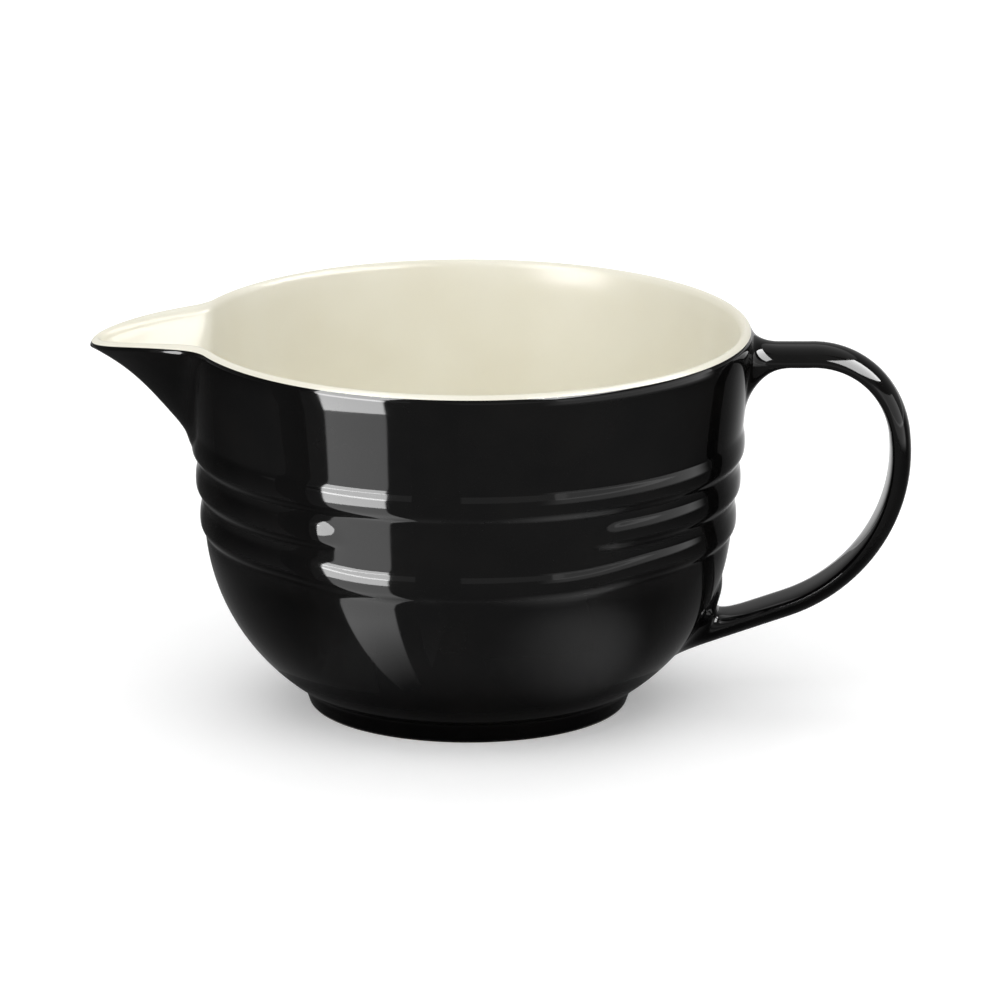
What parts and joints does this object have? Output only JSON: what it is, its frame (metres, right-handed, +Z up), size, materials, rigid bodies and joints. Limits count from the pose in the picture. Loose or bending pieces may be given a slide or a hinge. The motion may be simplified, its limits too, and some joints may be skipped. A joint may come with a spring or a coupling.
{
  "type": "batter bowl",
  "caption": "Stoneware mixing bowl with a wide pouring spout, an opposite loop handle, ribs round the wall and a bare foot ring; black glaze outside, cream inside.",
  "frame": {"origin": "on the bowl's axis, in the plane of the foot ring that stands on the table", "axes": "+Z up along the bowl's axis, +X from the spout towards the handle, -Y towards the bare panel in the middle rib"},
  "size_m": [0.2974, 0.206, 0.14],
  "materials": {
    "bare_stoneware": "bare fired clay",
    "fired_slip": "fired joining slip",
    "black_glaze": "high gloss",
    "cream_glaze": "gloss"
  },
  "bodies": {
    "root": {"bowl_body": "bare_stoneware", "pouring_spout": "bare_stoneware", "handle": "bare_stoneware", "upper_luting_slip": "fired_slip", "lower_luting_slip": "fired_slip", "outer_glaze": "black_glaze", "spout_outer_glaze": "black_glaze", "liner_glaze": "cream_glaze", "spout_liner_glaze": "cream_glaze", "handle_glaze": "black_glaze", "base_glaze": "black_glaze"}
  },
  "joints": []
}
